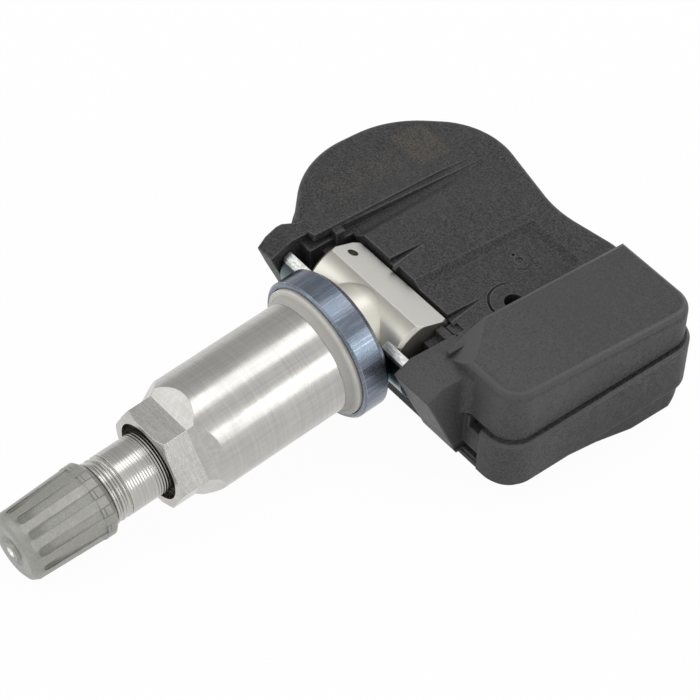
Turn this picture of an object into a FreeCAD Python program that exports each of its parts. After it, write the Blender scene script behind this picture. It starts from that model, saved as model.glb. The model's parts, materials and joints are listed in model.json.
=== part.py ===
import FreeCAD, Part
import math, os
from FreeCAD import Vector

# Wheel pressure sensor with a clamp-in swivel valve, in millimetres.
# The housing lies level: X runs along the valve's cross head, the valve points towards -Y, +Z is up.
# Lengths along the valve are counted from the swivel's centre towards the cap.

# Fits
running_gap = 0.06
seat_gap = 0.08
face_gap = 0.10

# Swivel
valve_dip = 4.0
swivel_up = 8.0
swivel_down = 10.0

# Valve stem
stem_r = 3.92
head_r = 4.5
head_half = 7.95
head_flat_h = 3.85
head_flat_tilt = 25.0
head_chamfer = 0.4
neck_start = 2.2
neck_r = 3.4
neck_taper = 0.12
shoulder_r = 5.6
shoulder_s = 5.44
shank_end = 38.4
ridge_count = 3
ridge_pitch = 0.77
ridge_core_r = 3.66
tail_r = 3.6
tail_length = 9.3
air_bore_r = 0.9
tool_hole_r = 0.65
tool_hole_depth = 1.2
tool_hole_inset = 1.6

# Washer and rim seal
washer_r = 9.06
washer_t = 3.92
washer_back_chamfer = 0.7
washer_front_chamfer = 0.25
seal_recess = 0.8
seal_r = 8.3
seal_recess_gap = 0.12
seal_band = 1.25
seal_flare = 0.75
seal_soft = 0.2
seal_steps = 4

# Sleeve nut
sleeve_r = 7.19
rim_gap_s = 10.8
nut_end = 33.5
hex_flats = 11.4
hex_length = 3.5
hex_turn = 2.0
scallop_length = 2.5
nut_nose_chamfer = 1.25
nut_counterbore_r = 4.95
nut_counterbore_depth = 3.0

# Cap
cap_collar_r = 4.65
cap_collar_l = 1.8
cap_lead_in = 0.6
cap_body_r = 4.58
cap_tip_r = 4.25
cap_top_t = 1.5
cap_edge_r = 0.9
cap_boss_r = 1.45
cap_boss_h = 0.3
cap_dimple_r = 0.6
cap_flutes = 12
flute_w = 1.15
flute_depth = 0.14
flute_tip_depth = 0.3
flute_end_gap = 0.9
cap_seal_t = 0.8

# Valve core
chamber_r = 2.1
chamber_length = 15.0
core_r = 2.04
core_inset = 0.8
core_head_l = 6.7
core_barrel_r = 1.6
core_barrel_l = 3.7
core_seat_t = 0.5
core_spring_bore_r = 1.4
core_pin_r = 0.55
core_pin_bore_r = 0.75
core_pin_proud = 0.4
core_collar_r = 1.25
core_spring_room = 3.0
core_collar_t = 0.6
core_pin_tail_l = 1.2
cup_r = 1.4
cup_t = 0.85
spring_wire = 0.24
spring_mean_r = 1.08
spring_turns = 4.5
spring_end_gap = 0.02

# Battery cell, which the housing's round pod goes round
cavity_front = 5.9
battery_x = -7.2
battery_r = 10.0
battery_front_gap = 0.4
battery_y = cavity_front + battery_front_gap + battery_r
pod_left = battery_x - battery_r - 4.8
pod_right = battery_x + battery_r - 0.5
pod_back = battery_y + battery_r + 4.2

# Housing plan: corners with the radius of each, counter-clockwise from the left front
plan_corners = [
    (-14.5, -0.3, 0),
    (24.3, -0.3, 3.2),
    (24.9, 28.5, 3.2),
    (10.6, 28.5, 9.0),
    (pod_right, pod_back - 3.7, 14.0),
    (battery_x - 7.0, pod_back, 9.5),
    (pod_left, pod_back - 10.2, 14.5),
    (pod_left, 7.1, 14.0),
]
box_front = -0.3
box_right = 24.3
box_back = 28.5

# Housing heights
top_fall = 5.5
mid_front_z = 3.15
central_step = 0.8
box_step = 2.1
central_x = 2.1
step_run = 1.0
mid_back = 21.8
box_x = 12.0
pod_edge_r = 1.4
box_edge_r = 1.3
box_inner_soft = 0.5
groove_z = -2.6
groove_h = 0.5
groove_depth = 0.3
skirt_out = 0.7
skirt_chamfer = 0.35
shell_bottom = -9.8
wall = 1.6

# Slanting facet between the right ear and the box's top: three points that it passes through
facet_points = [(11.5, 2.7, 2.9), (17.6, -0.3, 5.28), (12.1, 6.5, 4.62)]

# Ears and cradle
ear_inner = 11.0
ear_left_outer = 13.9
ear_right_outer = 16.8
ear_root_y = 3.2
ear_foot_y = -1.2
left_tip = (-6.5, 2.9)
left_crease = (-3.4, 4.1)
right_tip = (-6.3, 2.4)
right_crease = (-4.0, 3.5)
corner_cove_r = 1.3
cradle_back = 4.2
cradle_floor = -5.7
cradle_block_top = 1.6
end_wall_y = 1.65
end_wall_drop = 0.35
cheek_w = 1.6
cheek_y = -1.9
cheek_top = 2.7
slit_y = 2.75
slit_w = 0.22
slit_depth = 0.6
skirt_gap_right = 20.0
pit_depth = 1.3
pit_upper = (17.6, 19.9, -4.9, -2.9)
pit_lower = (16.6, 20.0, -9.3, -8.2)

# Retaining clip
clip_t = 0.6
clip_bevel = 30.0
clip_land = 0.1
clip_half = 10.85
clip_top_angle = 36.0
clip_low_angle = -105.0
clip_bridge_angle = -72.0
clip_window_half = 6.1
side_play = 0.8
head_end_gap = 0.1

# Top details; outlines across X are (x, height over the top) at the front and at the back
ridge_sections = [
    (-1.0, [(-11.2, -0.6), (-11.2, 0), (-9.9, 0.5), (-9.75, 0.5), (-9.75, -0.6)]),
    (19.0, [(-13.6, -0.6), (-13.6, 0), (-10.35, 0.4), (-10.2, 0.4), (-10.2, -0.6)]),
    (23.5, [(-12.6, -0.6), (-12.6, 0), (-10.4, 0.03), (-10.2, 0.03), (-10.2, -0.6)]),
]
channel_sections = [
    (2.9, [(-9.75, 1.5), (-9.75, -1.3), (-8.3, -1.3), (-6.8, 0), (-6.8, 1.5)]),
    (24.6, [(-9.3, 1.5), (-9.3, -0.05), (-8.7, -0.05), (-8.1, 0), (-8.1, 1.5)]),
]
wedge_length = 5.2
wedge_w = 1.35
wedge_depth = 1.0
wedge_lip_w = 0.45
wedge_lip_h = 0.28
wedge_central_x = -2.3
wedge_mid_x = 8.0
gate_x = 6.2
gate_y = 17.0
gate_r = 2.2
gate_h = 0.35
gate_pit_r = 0.5
vent_pit_r = 0.22
vent_pit_x = 5.1
port_x = 10.9
port_y = 12.1
port_r = 1.3
port_ring_r = 3.25
port_ring_w = 0.3
port_ring_depth = 0.2
port_seal_w = 0.9

# Base cover
cover_front_t = 0.8
foot_depth = 3.6
foot_y0 = 8.0
foot_y1 = 19.5
foot_y2 = 25.5
cover_inset = 0.6
cover_plug_h = 0.9

# Electronics
board_t = 1.0
board_top = -2.2
board_gap = 0.25
battery_t = 5.0
battery_rim = 0.5
contact_gap = 0.1
contact_t = 0.2
contact_w = 3.0
sensor_size = 5.0
sensor_h = 1.8
radio_size = 4.0
radio_h = 0.9
radio_inset = 6.0
radio_back = 5.0
crystal_x = 4.5
crystal_y = 19.4
crystal_l = 3.2
crystal_w = 2.5
crystal_h = 0.8
coil_l = 7.0
coil_w = 2.4
coil_h = 2.2
coil_wire_t = 0.35
coil_inset = 4.4
coil_back = 13.0
coil_end = 1.0
cap_chip_l = 1.6
cap_chip_w = 0.8
cap_chip_h = 0.8
cap_chip_count = 4
chip_gap = 0.3
antenna_h = 2.6
antenna_t = 0.4
antenna_w = 1.2

# Reach of the blocks that cut, and how far the two parts of the top overlap
far = 60.0
level_lap = 1.5
recess_lap = 1.0
recess_reach = 30.0

# Places along the valve that follow from the sizes above
cap_start = shank_end + ridge_count * ridge_pitch
cap_collar_s = cap_start + cap_collar_l
stem_end = cap_start + tail_length
chamber_start = stem_end - chamber_length
core_top = stem_end - core_inset
core_shoulder_s = core_top - core_head_l
core_barrel_s = core_shoulder_s - core_barrel_l
core_spring_seat = core_shoulder_s + core_seat_t
core_collar_s = core_spring_seat + core_spring_room
core_pin_end = core_top + core_pin_proud
core_pin_tail = core_barrel_s - core_pin_tail_l
washer_back = shoulder_s
washer_front = washer_back + washer_t
seal_back = washer_front - seal_recess
cap_end = stem_end + face_gap + cap_seal_t + cap_top_t
clip_in_r = head_r + seat_gap
clip_out_r = clip_in_r + clip_t
chips_x = port_x + sensor_size / 2 + cap_chip_l / 2 + chip_gap
dip = math.radians(valve_dip)
seat = Vector(0, -rim_gap_s * math.cos(dip), -rim_gap_s * math.sin(dip))


def turned(points):
    """Solid of revolution about the valve axis, from (radius, station) points."""
    ring = [Vector(r, 0, s) for r, s in points]
    ring.append(ring[0])
    return Part.Face(Part.makePolygon(ring)).revolve(Vector(0, 0, 0), Vector(0, 0, 1), 360)


def rod(r, s0, s1):
    return Part.makeCylinder(r, s1 - s0, Vector(0, 0, s0))


def tube(r_in, r_out, s0, s1):
    return rod(r_out, s0, s1).cut(rod(r_in, s0 - 1, s1 + 1))


def block(x0, x1, y0, y1, z0, z1):
    return Part.makeBox(x1 - x0, y1 - y0, z1 - z0, Vector(x0, y0, z0))


def fused(shapes):
    whole = shapes[0].multiFuse(shapes[1:]) if len(shapes) > 1 else shapes[0]
    return whole.removeSplitter()


def along_valve(shape):
    """From the valve's own axes to the housing's: the valve axis dips below -Y."""
    placed = shape.copy()
    placed.rotate(Vector(0, 0, 0), Vector(1, 0, 0), 90 + valve_dip)
    return placed


def prism(points, z0, z1):
    ring = [Vector(x, y, z0) for x, y in points]
    ring.append(ring[0])
    return Part.Face(Part.makePolygon(ring)).extrude(Vector(0, 0, z1 - z0))


def side_prism(points, x0, x1):
    """Prism along X from (y, z) points."""
    ring = [Vector(x0, y, z) for y, z in points]
    ring.append(ring[0])
    return Part.Face(Part.makePolygon(ring)).extrude(Vector(x1 - x0, 0, 0))


def vertical_edges(shape, x, y, reach):
    """Edges along Z that pass within reach of (x, y)."""
    found = []
    for edge in shape.Edges:
        a, b = edge.Vertexes[0].Point, edge.Vertexes[-1].Point
        upright = math.hypot(a.x - b.x, a.y - b.y) < 1e-4 and abs(a.z - b.z) > 1e-3
        if upright and math.hypot(a.x - x, a.y - y) < reach:
            found.append(edge)
    return found


def above(z_front):
    """Everything above the sloping plane that crosses y = 0 at z_front."""
    half = block(-far, far, -far, far, 0, far)
    half.rotate(Vector(0, 0, 0), Vector(1, 0, 0), -top_fall)
    half.translate(Vector(0, 0, z_front))
    return half


def top_height(z_front, y):
    return z_front - y * math.tan(math.radians(top_fall))


def on_slope(point, z_front):
    return abs(point.z - top_height(z_front, point.y)) < 1e-3


# Valve

def make_stem():
    head = Part.makeCylinder(head_r, 2 * head_half, Vector(-head_half, 0, 0), Vector(1, 0, 0))
    ends = [e for e in head.Edges if len(e.Vertexes) == 1]
    head = head.makeChamfer(head_chamfer, ends)
    flat = block(-far, far, head_flat_h, far, -far, far)
    flat.rotate(Vector(0, 0, 0), Vector(1, 0, 0), -head_flat_tilt)
    head = head.cut(flat)
    profile = [(0, 0), (neck_r - neck_taper, 0), (neck_r, neck_start), (shoulder_r, shoulder_s)]
    profile += [(stem_r, shoulder_s), (stem_r, shank_end)]
    for i in range(ridge_count):
        for r, share in ((ridge_core_r, 0.12), (stem_r, 0.4), (stem_r, 0.65), (ridge_core_r, 0.93)):
            profile.append((r, shank_end + (i + share) * ridge_pitch))
    profile += [(tail_r, cap_start), (tail_r, stem_end), (0, stem_end)]
    stem = fused([head, turned(profile)])
    tilt = math.radians(head_flat_tilt)
    normal = Vector(0, math.cos(tilt), -math.sin(tilt))
    mouth = Vector(tool_hole_inset - head_half, 0, 0) + normal * (head_flat_h - tool_hole_depth)
    stem = stem.cut(Part.makeCylinder(tool_hole_r, 4, mouth, normal))
    stem = stem.cut(rod(air_bore_r, -2 * head_r, chamber_start + 1))
    seat_cone = Part.makeCone(air_bore_r, chamber_r, chamber_r - air_bore_r, Vector(0, 0, chamber_start))
    chamber = rod(chamber_r, chamber_start + chamber_r - air_bore_r, stem_end + 1)
    return stem.cut(seat_cone).cut(chamber)


def make_washer():
    bore = stem_r + running_gap
    recess_r = seal_r + seal_recess_gap
    return turned([
        (bore, washer_back),
        (washer_r - washer_back_chamfer, washer_back),
        (washer_r, washer_back + washer_back_chamfer),
        (washer_r, washer_front - washer_front_chamfer),
        (washer_r - washer_front_chamfer, washer_front),
        (recess_r, washer_front),
        (recess_r, seal_back),
        (bore, seal_back),
    ])


def make_rim_seal():
    """Rubber ring with a band in the washer's recess and a hollow flare up to the sleeve."""
    bore = stem_r + running_gap
    band_end = seal_back + seal_band
    profile = [(bore, rim_gap_s), (bore, seal_back), (seal_r, seal_back), (seal_r, band_end - seal_soft)]
    profile.append((seal_r - seal_soft, band_end))
    for i in range(seal_steps + 1):
        turn = math.radians(90 * i / seal_steps)
        r = sleeve_r + seal_flare * (1 - math.sin(turn))
        profile.append((r, rim_gap_s - (rim_gap_s - band_end) * math.cos(turn)))
    return turned(profile)


def hexagon(apothem, s):
    corner_r = apothem / math.cos(math.pi / 6)
    ring = []
    for i in range(7):
        a = math.radians(hex_turn + 60 * i)
        ring.append(Vector(corner_r * math.cos(a), corner_r * math.sin(a), s))
    return Part.makePolygon(ring)


def make_sleeve_nut():
    """Long sleeve whose outer end is milled to a hexagon, with sloping scallops between."""
    hex_start = nut_end - hex_length
    scallop_start = hex_start - scallop_length
    body = turned([
        (0, rim_gap_s),
        (sleeve_r, rim_gap_s),
        (sleeve_r, nut_end - nut_nose_chamfer * 0.6),
        (sleeve_r - nut_nose_chamfer, nut_end),
        (0, nut_end),
    ])
    tail = rod(sleeve_r + 1, rim_gap_s, scallop_start)
    wide = sleeve_r + face_gap
    slope = Part.makeLoft([hexagon(wide, scallop_start), hexagon(hex_flats / 2, hex_start)], True, True)
    six = Part.Face(hexagon(hex_flats / 2, hex_start)).extrude(Vector(0, 0, hex_length))
    nut = body.common(fused([tail, slope, six]))
    nut = nut.cut(rod(stem_r + running_gap, 0, nut_end + 1))
    return nut.cut(rod(nut_counterbore_r, nut_end - nut_counterbore_depth, nut_end + 1))


def flute_cutter(end):
    """Slot of an end mill along the cap: square at the collar, round and deeper near the tip."""
    length = end - cap_collar_s
    deep = cap_body_r - flute_depth
    tip_deep = cap_tip_r - flute_tip_depth
    slot = fused([
        block(0, cap_body_r, -flute_w / 2, flute_w / 2, 0, length),
        Part.makeCylinder(flute_w / 2, cap_body_r, Vector(0, 0, length), Vector(1, 0, 0)),
    ])
    slot.rotate(Vector(0, 0, 0), Vector(0, 1, 0), math.degrees(math.atan2(tip_deep - deep, length)))
    slot.translate(Vector(deep, 0, cap_collar_s))
    return slot


def make_cap():
    taper_end = cap_end - cap_boss_h - cap_edge_r
    shell = turned([
        (0, cap_start),
        (cap_collar_r - cap_lead_in, cap_start),
        (cap_collar_r, cap_start + cap_lead_in),
        (cap_collar_r, cap_collar_s),
        (cap_body_r, cap_collar_s),
        (cap_tip_r, taper_end),
        (cap_tip_r - 0.35 * cap_edge_r, taper_end + 0.7 * cap_edge_r),
        (cap_tip_r - cap_edge_r, taper_end + cap_edge_r),
        (cap_boss_r, taper_end + cap_edge_r),
        (cap_boss_r - 0.15, cap_end),
        (0, cap_end),
    ])
    cutters = []
    for i in range(cap_flutes):
        cutter = flute_cutter(taper_end - flute_end_gap)
        cutter.rotate(Vector(0, 0, 0), Vector(0, 0, 1), i * 360 / cap_flutes)
        cutters.append(cutter)
    cap = shell.cut(Part.makeCompound(cutters))
    cap = cap.cut(Part.makeCone(0, cap_dimple_r, cap_dimple_r, Vector(0, 0, cap_end - cap_dimple_r)))
    return cap.cut(rod(tail_r + running_gap, cap_start - 1, stem_end + face_gap + cap_seal_t))


def make_cap_seal():
    return rod(tail_r, stem_end + face_gap, stem_end + face_gap + cap_seal_t)


def make_core_body():
    barrel = rod(core_barrel_r, core_barrel_s, core_shoulder_s + 0.5)
    body = fused([rod(core_r, core_shoulder_s, core_top), barrel])
    body = body.cut(rod(core_pin_bore_r, core_barrel_s - 1, core_top + 1))
    body = body.cut(rod(core_spring_bore_r, core_spring_seat, core_top + 1))
    slot = block(-core_r - 1, core_r + 1, -0.5, 0.5, core_top - 1.2, core_top + 1)
    return body.cut(slot)


def make_core_seal_ring():
    return tube(core_barrel_r, chamber_r, core_shoulder_s - 1.8, core_shoulder_s - 0.05)


def make_core_pin():
    collar = rod(core_collar_r, core_collar_s, core_collar_s + core_collar_t)
    return fused([rod(core_pin_r, core_pin_tail, core_pin_end), collar])


def make_core_cup():
    return tube(core_pin_r, cup_r, core_barrel_s - cup_t - 0.02, core_barrel_s - 0.02)


def make_core_spring():
    """Coil spring between the seat in the core and the collar on the pin."""
    room = core_collar_s - core_spring_seat - spring_wire - 2 * spring_end_gap
    helix = Part.makeHelix(room / spring_turns, room, spring_mean_r)
    half = spring_wire / 2
    ways = ((-1, -1), (1, -1), (1, 1), (-1, 1), (-1, -1))
    corners = [Vector(spring_mean_r + a * half, 0, b * half) for a, b in ways]
    coil = Part.Wire(helix.Edges).makePipeShell([Part.makePolygon(corners)], True, True)
    coil.translate(Vector(0, 0, core_spring_seat + half + spring_end_gap))
    return coil


# Housing

def plan_corner(i, grow):
    """One corner of the grown plan: where its arc starts, its middle, and where it ends."""
    before, here, after = (Vector(*plan_corners[j % len(plan_corners)][:2], 0) for j in (i - 1, i, i + 1))
    u, v = (here - before).normalize(), (after - here).normalize()
    out = Vector(u.y + v.y, -u.x - v.x, 0) * (1 / (1 + u.dot(v)))
    turn = math.atan2(u.cross(v).z, u.dot(v))
    corner = here + out * grow
    r = plan_corners[i][2] + (grow if turn > 0 else -grow)
    if plan_corners[i][2] == 0:
        return [corner]
    reach = r * math.tan(abs(turn) / 2)
    sag = r / math.cos(turn / 2) - r
    return [corner - u * reach, corner - out.normalize() * math.copysign(sag, turn), corner + v * reach]


def plan_prism(grow, z0, z1):
    """The housing's plan, grown or shrunk, between two heights."""
    corners = [plan_corner(i, grow) for i in range(len(plan_corners))]
    edges = []
    for i, points in enumerate(corners):
        if len(points) == 3:
            edges.append(Part.Arc(*points).toShape())
        edges.append(Part.LineSegment(points[-1], corners[(i + 1) % len(corners)][0]).toShape())
    face = Part.Face(Part.Wire(edges))
    face.translate(Vector(0, 0, z0))
    return face.extrude(Vector(0, 0, z1 - z0))


def level(slab, z_front, edge_r, keep):
    """Cuts a slab to a sloping top and rounds the top edges that keep() lets through."""
    cut = slab.cut(above(z_front))
    rim = []
    for edge in cut.Edges:
        middle = edge.valueAt((edge.FirstParameter + edge.LastParameter) / 2)
        ends = [v.Point for v in edge.Vertexes]
        if on_slope(middle, z_front) and all(on_slope(p, z_front) for p in ends) and keep(middle):
            rim.append(edge)
    return cut.makeFillet(edge_r, rim)


def over_plane(a, b, c):
    """Everything above the plane through three points."""
    a, b, c = Vector(*a), Vector(*b), Vector(*c)
    normal = (b - a).cross(c - a).normalize()
    half = block(-far, far, -far, far, 0, far)
    half.Placement = FreeCAD.Placement(a, FreeCAD.Rotation(Vector(0, 0, 1), normal))
    return half


def over_inner_edge(tilt):
    """Everything over a plane that leans towards the middle and softens the box's inner edge."""
    z_front = mid_front_z + box_step
    run = box_inner_soft
    drop = run * math.tan(math.radians(tilt))
    x = box_x + run * (1 if tilt < 45 else 0.3)
    fall = math.tan(math.radians(top_fall))
    return over_plane((x, 0, z_front), (x, 10, z_front - 10 * fall), (x - run, 0, z_front - drop))


def make_mid_recess():
    """Sunken panel between the central part and the box, with sloping sides."""
    sheets = []
    for z in (0, 3 * central_step):
        run = step_run * z / central_step
        left, right = central_x + step_run - run, box_x + recess_lap
        front, back = -recess_reach, mid_back + run
        corners = ((left, front), (right, front), (right, back), (left, back), (left, front))
        sheets.append(Part.makePolygon([Vector(x, y, z) for x, y in corners]))
    recess = Part.makeLoft(sheets, True, True)
    recess.rotate(Vector(0, 0, 0), Vector(1, 0, 0), -top_fall)
    recess.translate(Vector(0, 0, mid_front_z))
    return recess


def make_levels():
    tall = plan_prism(0, groove_z, 12)
    left = tall.common(block(-far, box_x + level_lap, -far, far, -far, far))
    base = level(left, mid_front_z + central_step, pod_edge_r,
                 lambda p: p.x < box_x + level_lap - 0.01 and p.y > box_front + 0.01)
    base = base.cut(make_mid_recess())
    right = level(tall.common(block(box_x, far, -far, far, -far, far)), mid_front_z + box_step, box_edge_r,
                  lambda p: p.x > box_x + 0.01)
    for tilt in (30, 62):
        right = right.cut(over_inner_edge(tilt))
    return [base, right.cut(over_plane(*facet_points))]


def make_skirt():
    skirt = plan_prism(skirt_out, shell_bottom, groove_z - groove_h)
    rim_z = groove_z - groove_h
    rim = [e for e in skirt.Edges if abs(e.BoundBox.ZMin - rim_z) < 1e-3 and e.BoundBox.ZLength < 1e-3]
    skirt = skirt.makeChamfer(skirt_chamfer, rim)
    gap = block(ear_right_outer - 0.5, skirt_gap_right, -far, box_front, -far, 0)
    return [skirt.cut(gap), plan_prism(-groove_depth, groove_z - groove_h - 0.1, groove_z + 0.1)]


def ear_outline(tip, crease, z_front):
    return [
        tip,
        crease,
        (ear_root_y, top_height(z_front, ear_root_y)),
        (ear_root_y, shell_bottom),
        (ear_foot_y, shell_bottom),
    ]


def make_ears():
    """Cheeks either side of the cross head; the right one is wider and runs into the box."""
    left_side = ear_outline(left_tip, left_crease, mid_front_z + central_step)
    left = side_prism(left_side, -ear_left_outer, -ear_inner)
    rounded = prism([
        (-ear_left_outer + 0.45, left_tip[0] - 0.1),
        (-ear_inner + 1, left_tip[0] - 0.1),
        (-ear_inner + 1, ear_root_y + 1),
        (-ear_left_outer + 1.4, ear_root_y + 1),
        (-ear_left_outer + 0.9, -0.9),
        (-ear_left_outer, -2.6),
        (-ear_left_outer, -5.0),
    ], -far, far)
    right = side_prism(ear_outline(right_tip, right_crease, mid_front_z), ear_inner, ear_right_outer)
    cove_x, cove_y = ear_right_outer + corner_cove_r, box_front - corner_cove_r
    cove = block(ear_right_outer - 0.5, cove_x, cove_y, 1, groove_z, 3.2)
    scoop = Part.makeCylinder(corner_cove_r, 2 * far, Vector(cove_x, cove_y, -far))
    return [left.common(rounded), right, cove.cut(scoop)]


def ring_sector(r_in, r_out, low, high, x0, x1):
    """Part of a tube about the swivel axis, from one angle to another, counted up from -Y."""
    def at(r, a):
        return Vector(x0, -r * math.cos(math.radians(a)), r * math.sin(math.radians(a)))
    mid = (low + high) / 2
    outer = Part.Arc(at(r_out, low), at(r_out, mid), at(r_out, high)).toShape()
    inner = Part.Arc(at(r_in, high), at(r_in, mid), at(r_in, low)).toShape()
    side_a = Part.LineSegment(at(r_out, high), at(r_in, high)).toShape()
    side_b = Part.LineSegment(at(r_in, low), at(r_out, low)).toShape()
    return Part.Face(Part.Wire([outer, side_a, inner, side_b])).extrude(Vector(x1 - x0, 0, 0))


def make_cradle():
    """Seat behind the cross head, the walls past its ends, and a cheek on the left."""
    bore_half = head_half + side_play + head_end_gap
    seat_block = block(-ear_inner, ear_inner, 0, cradle_back + 0.2, cradle_floor - 0.2, cradle_block_top)
    right_wall = block(bore_half - 0.4, ear_inner + 0.2, end_wall_y, cradle_back + 0.2, cradle_floor, 12)
    right_wall = right_wall.cut(above(mid_front_z - end_wall_drop))
    left_wall = block(-ear_inner - 0.2, -bore_half, end_wall_y, cradle_back + 0.2, cradle_floor, 12)
    left_wall = left_wall.cut(above(mid_front_z + central_step))
    cheek = block(-ear_inner - 0.2, -ear_inner + cheek_w, cheek_y, end_wall_y + 0.2, cradle_floor, cheek_top)
    return [seat_block, right_wall, left_wall, cheek]


def swivel_bore():
    half = head_half + side_play + head_end_gap
    return Part.makeCylinder(head_r + seat_gap, 2 * half, Vector(-half, 0, 0), Vector(1, 0, 0))


def tapered(sections, z_front):
    """Solid through outlines across X, each at its own y, with heights counted from the sloping top."""
    wires = []
    for y, points in sections:
        ring = [Vector(x, y, top_height(z_front, y) + h) for x, h in points]
        wires.append(Part.makePolygon(ring + ring[:1]))
    return Part.makeLoft(wires, True, True)


def wedge_lip(x, z_front):
    """Raised lip along the right side of a wedge recess, falling away to the back."""
    x1 = x + wedge_w
    x2 = x + 0.35
    y0 = cradle_back - 0.6
    y1 = cradle_back + wedge_length
    return tapered([
        (y0, [(x1 - 0.1, -0.5), (x1, wedge_lip_h), (x1 + wedge_lip_w, -0.02), (x1 + wedge_lip_w, -0.5)]),
        (y1, [(x + 0.3, -0.5), (x2, 0.02), (x2 + wedge_lip_w, -0.02), (x2 + wedge_lip_w, -0.5)]),
    ], z_front)


def wedge_cut(x, z_front):
    """Recess that is wide and deep at the cradle and runs out to the back."""
    y1 = cradle_back + wedge_length
    return tapered([
        (cradle_back - 1.5, [(x, 1), (x, -wedge_depth), (x + wedge_w, -wedge_depth), (x + wedge_w, 1)]),
        (y1, [(x + 0.25, 1), (x + 0.25, 0), (x + 0.35, 0), (x + 0.35, 1)]),
    ], z_front)


def make_top_details():
    central_z = mid_front_z + central_step
    gate_z = top_height(mid_front_z, gate_y)
    dome = Part.makeCone(gate_r, gate_r * 0.55, gate_h + 0.5, Vector(gate_x, gate_y, gate_z - 0.5))
    return [
        tapered(ridge_sections, central_z),
        wedge_lip(wedge_central_x, central_z),
        wedge_lip(wedge_mid_x, mid_front_z),
        dome,
    ]


def make_top_cuts():
    central_z = mid_front_z + central_step
    gate_z = top_height(mid_front_z, gate_y)
    pit = Part.makeCylinder(gate_pit_r, 1, Vector(gate_x, gate_y, gate_z + gate_h / 2))
    vent = Part.makeCylinder(vent_pit_r, 1, Vector(vent_pit_x, gate_y, gate_z))
    port_z = top_height(mid_front_z, port_y)
    mid_only = block(central_x + step_run, box_x, -far, far, -far, far)
    hole = Part.makeCylinder(port_r, 12, Vector(port_x, port_y, port_z - 6)).common(mid_only)
    ring = Part.makeCylinder(port_ring_r, 2, Vector(port_x, port_y, port_z - port_ring_depth))
    ring = ring.cut(Part.makeCylinder(port_ring_r - port_ring_w, 4, Vector(port_x, port_y, port_z - 1)))
    slit = block(wedge_mid_x + wedge_w, ear_inner + 0.4, slit_y, slit_y + slit_w, -far, far)
    return [
        tapered(channel_sections, central_z),
        wedge_cut(wedge_central_x, central_z),
        wedge_cut(wedge_mid_x, mid_front_z),
        pit,
        vent,
        hole,
        ring.common(mid_only),
        slit.common(above(mid_front_z - end_wall_drop - slit_depth)),
    ]


def make_pits():
    """Two small pits in the front, beside the right ear's foot."""
    floor = box_front + pit_depth
    return [block(x0, x1, -20, floor, z0, z1) for x0, x1, z0, z1 in (pit_upper, pit_lower)]


def make_cavity():
    room = plan_prism(-wall, -far, far / 2).common(block(-far, far, cavity_front, far, -far, far))
    box_z = mid_front_z + box_step
    high = room.common(block(box_x + wall, far, -far, far, -far, far)).cut(above(box_z - wall))
    return fused([room.cut(above(mid_front_z - wall)), high])


def make_shell():
    shell = fused(make_levels() + make_skirt() + make_ears())
    shell = shell.cut(block(-ear_inner, ear_inner, -far, cradle_back, cradle_floor, far))
    shell = fused([shell] + make_cradle() + make_top_details())
    shell = shell.cut(swivel_bore())
    slot_half = clip_half + seat_gap
    slot_in, slot_out = clip_in_r - seat_gap, clip_out_r + seat_gap
    slot = ring_sector(slot_in, slot_out, clip_low_angle - 2, clip_top_angle + 7, -slot_half, slot_half)
    shell = shell.cut(slot)
    for cutter in make_pits() + make_top_cuts():
        shell = shell.cut(cutter)
    return shell.cut(make_cavity())


def make_base_cover():
    """Welded cover whose underside swells into a foot near the back."""
    low = shell_bottom - foot_depth
    profile = [
        (-far, shell_bottom),
        (-far, shell_bottom - cover_front_t),
        (foot_y0, shell_bottom - cover_front_t),
        ((foot_y0 + foot_y1) / 2, shell_bottom - 0.5 * foot_depth),
        (foot_y1, low + 0.1),
        (foot_y2, low),
        (box_back - cover_inset, shell_bottom - 1.2),
        (far, shell_bottom - 1.0),
        (far, shell_bottom),
    ]
    belly = side_prism(profile, -far, far)
    plate = plan_prism(skirt_out - cover_inset, low - 1, shell_bottom).common(belly)
    plug = plan_prism(-wall - running_gap, shell_bottom - 0.1, shell_bottom + cover_plug_h)
    plug = plug.common(block(-far, far, cavity_front + running_gap, far, -far, far))
    return fused([plate, plug])


def make_clip():
    """Curved spring strip round the front of the cross head, open for the neck."""
    strip = ring_sector(clip_in_r, clip_out_r, clip_low_angle, clip_top_angle, -clip_half, clip_half)
    at = math.radians(clip_top_angle)
    y, z = -(clip_in_r + clip_land) * math.cos(at), (clip_in_r + clip_land) * math.sin(at)
    fall = math.tan(math.radians(clip_bevel))
    y_out = y - 2 * clip_t
    bevel = [(y, z + clip_t), (y, z), (y_out, z - 2 * clip_t * fall), (y_out, z + clip_t)]
    strip = strip.cut(side_prism(bevel, -clip_half, clip_half))
    x0, x1 = side_play - clip_window_half, side_play + clip_window_half
    window = ring_sector(clip_in_r - 1, clip_out_r + 1, clip_bridge_angle, clip_top_angle + 5, x0, x1)
    return strip.cut(window)


# Electronics

def make_board():
    outline = plan_prism(-wall - board_gap, board_top - board_t, board_top)
    return outline.common(block(-far, far, cavity_front + board_gap, far, -far, far))


def make_radio_chip():
    return on_board(box_x + radio_inset, cavity_front + radio_back, radio_size, radio_size, radio_h)


def make_battery():
    top = board_top - board_t - contact_gap - contact_t
    cell = Part.makeCylinder(battery_r, battery_t, Vector(battery_x, battery_y, top - battery_t))
    return cell.makeChamfer(battery_rim, [e for e in cell.Edges if len(e.Vertexes) == 1])


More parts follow.
